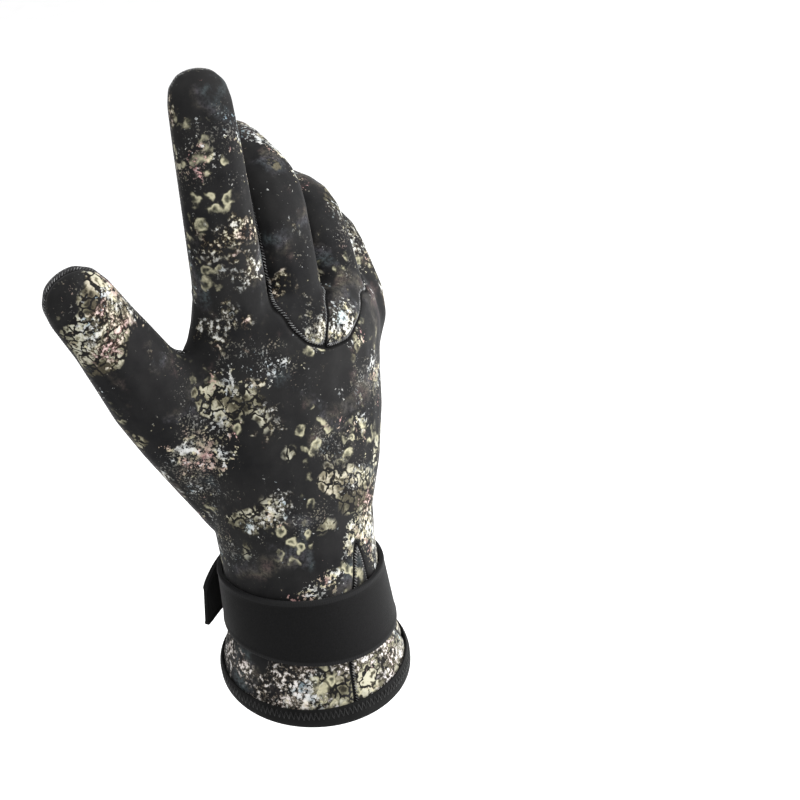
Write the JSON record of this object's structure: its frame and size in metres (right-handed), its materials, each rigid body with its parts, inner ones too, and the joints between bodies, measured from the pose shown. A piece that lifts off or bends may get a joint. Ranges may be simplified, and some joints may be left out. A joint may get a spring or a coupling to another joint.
{
  "type": "diving glove",
  "caption": "Hollow neoprene diving glove for the right hand with a wrap-around wrist strap, a pull tab and a folded hem band.",
  "frame": {"origin": "The middle of the cuff's mouth, where the wrist goes in, level with the middle of the hem.", "axes": "+Z runs from the cuff to the fingertips, -Y comes out of the back of the hand, and -X is the thumb's side."},
  "size_m": [0.1423, 0.112, 0.2509],
  "materials": {
    "printed_neoprene": "matte nylon face with a printed reef-like camouflage",
    "grip_neoprene": "matte knit with small raised grip dots",
    "edge_band": "matte folded strip with zigzag stitches",
    "strap_webbing": "matte brushed loop webbing"
  },
  "bodies": {
    "root": {"back_panel": "printed_neoprene", "middle_finger_back": "printed_neoprene", "ring_finger_back": "printed_neoprene", "palm_panel": "grip_neoprene", "cuff_palm_panel": "printed_neoprene", "cuff_gusset": "printed_neoprene", "hem_band": "edge_band", "wrist_strap": "strap_webbing"}
  },
  "joints": []
}
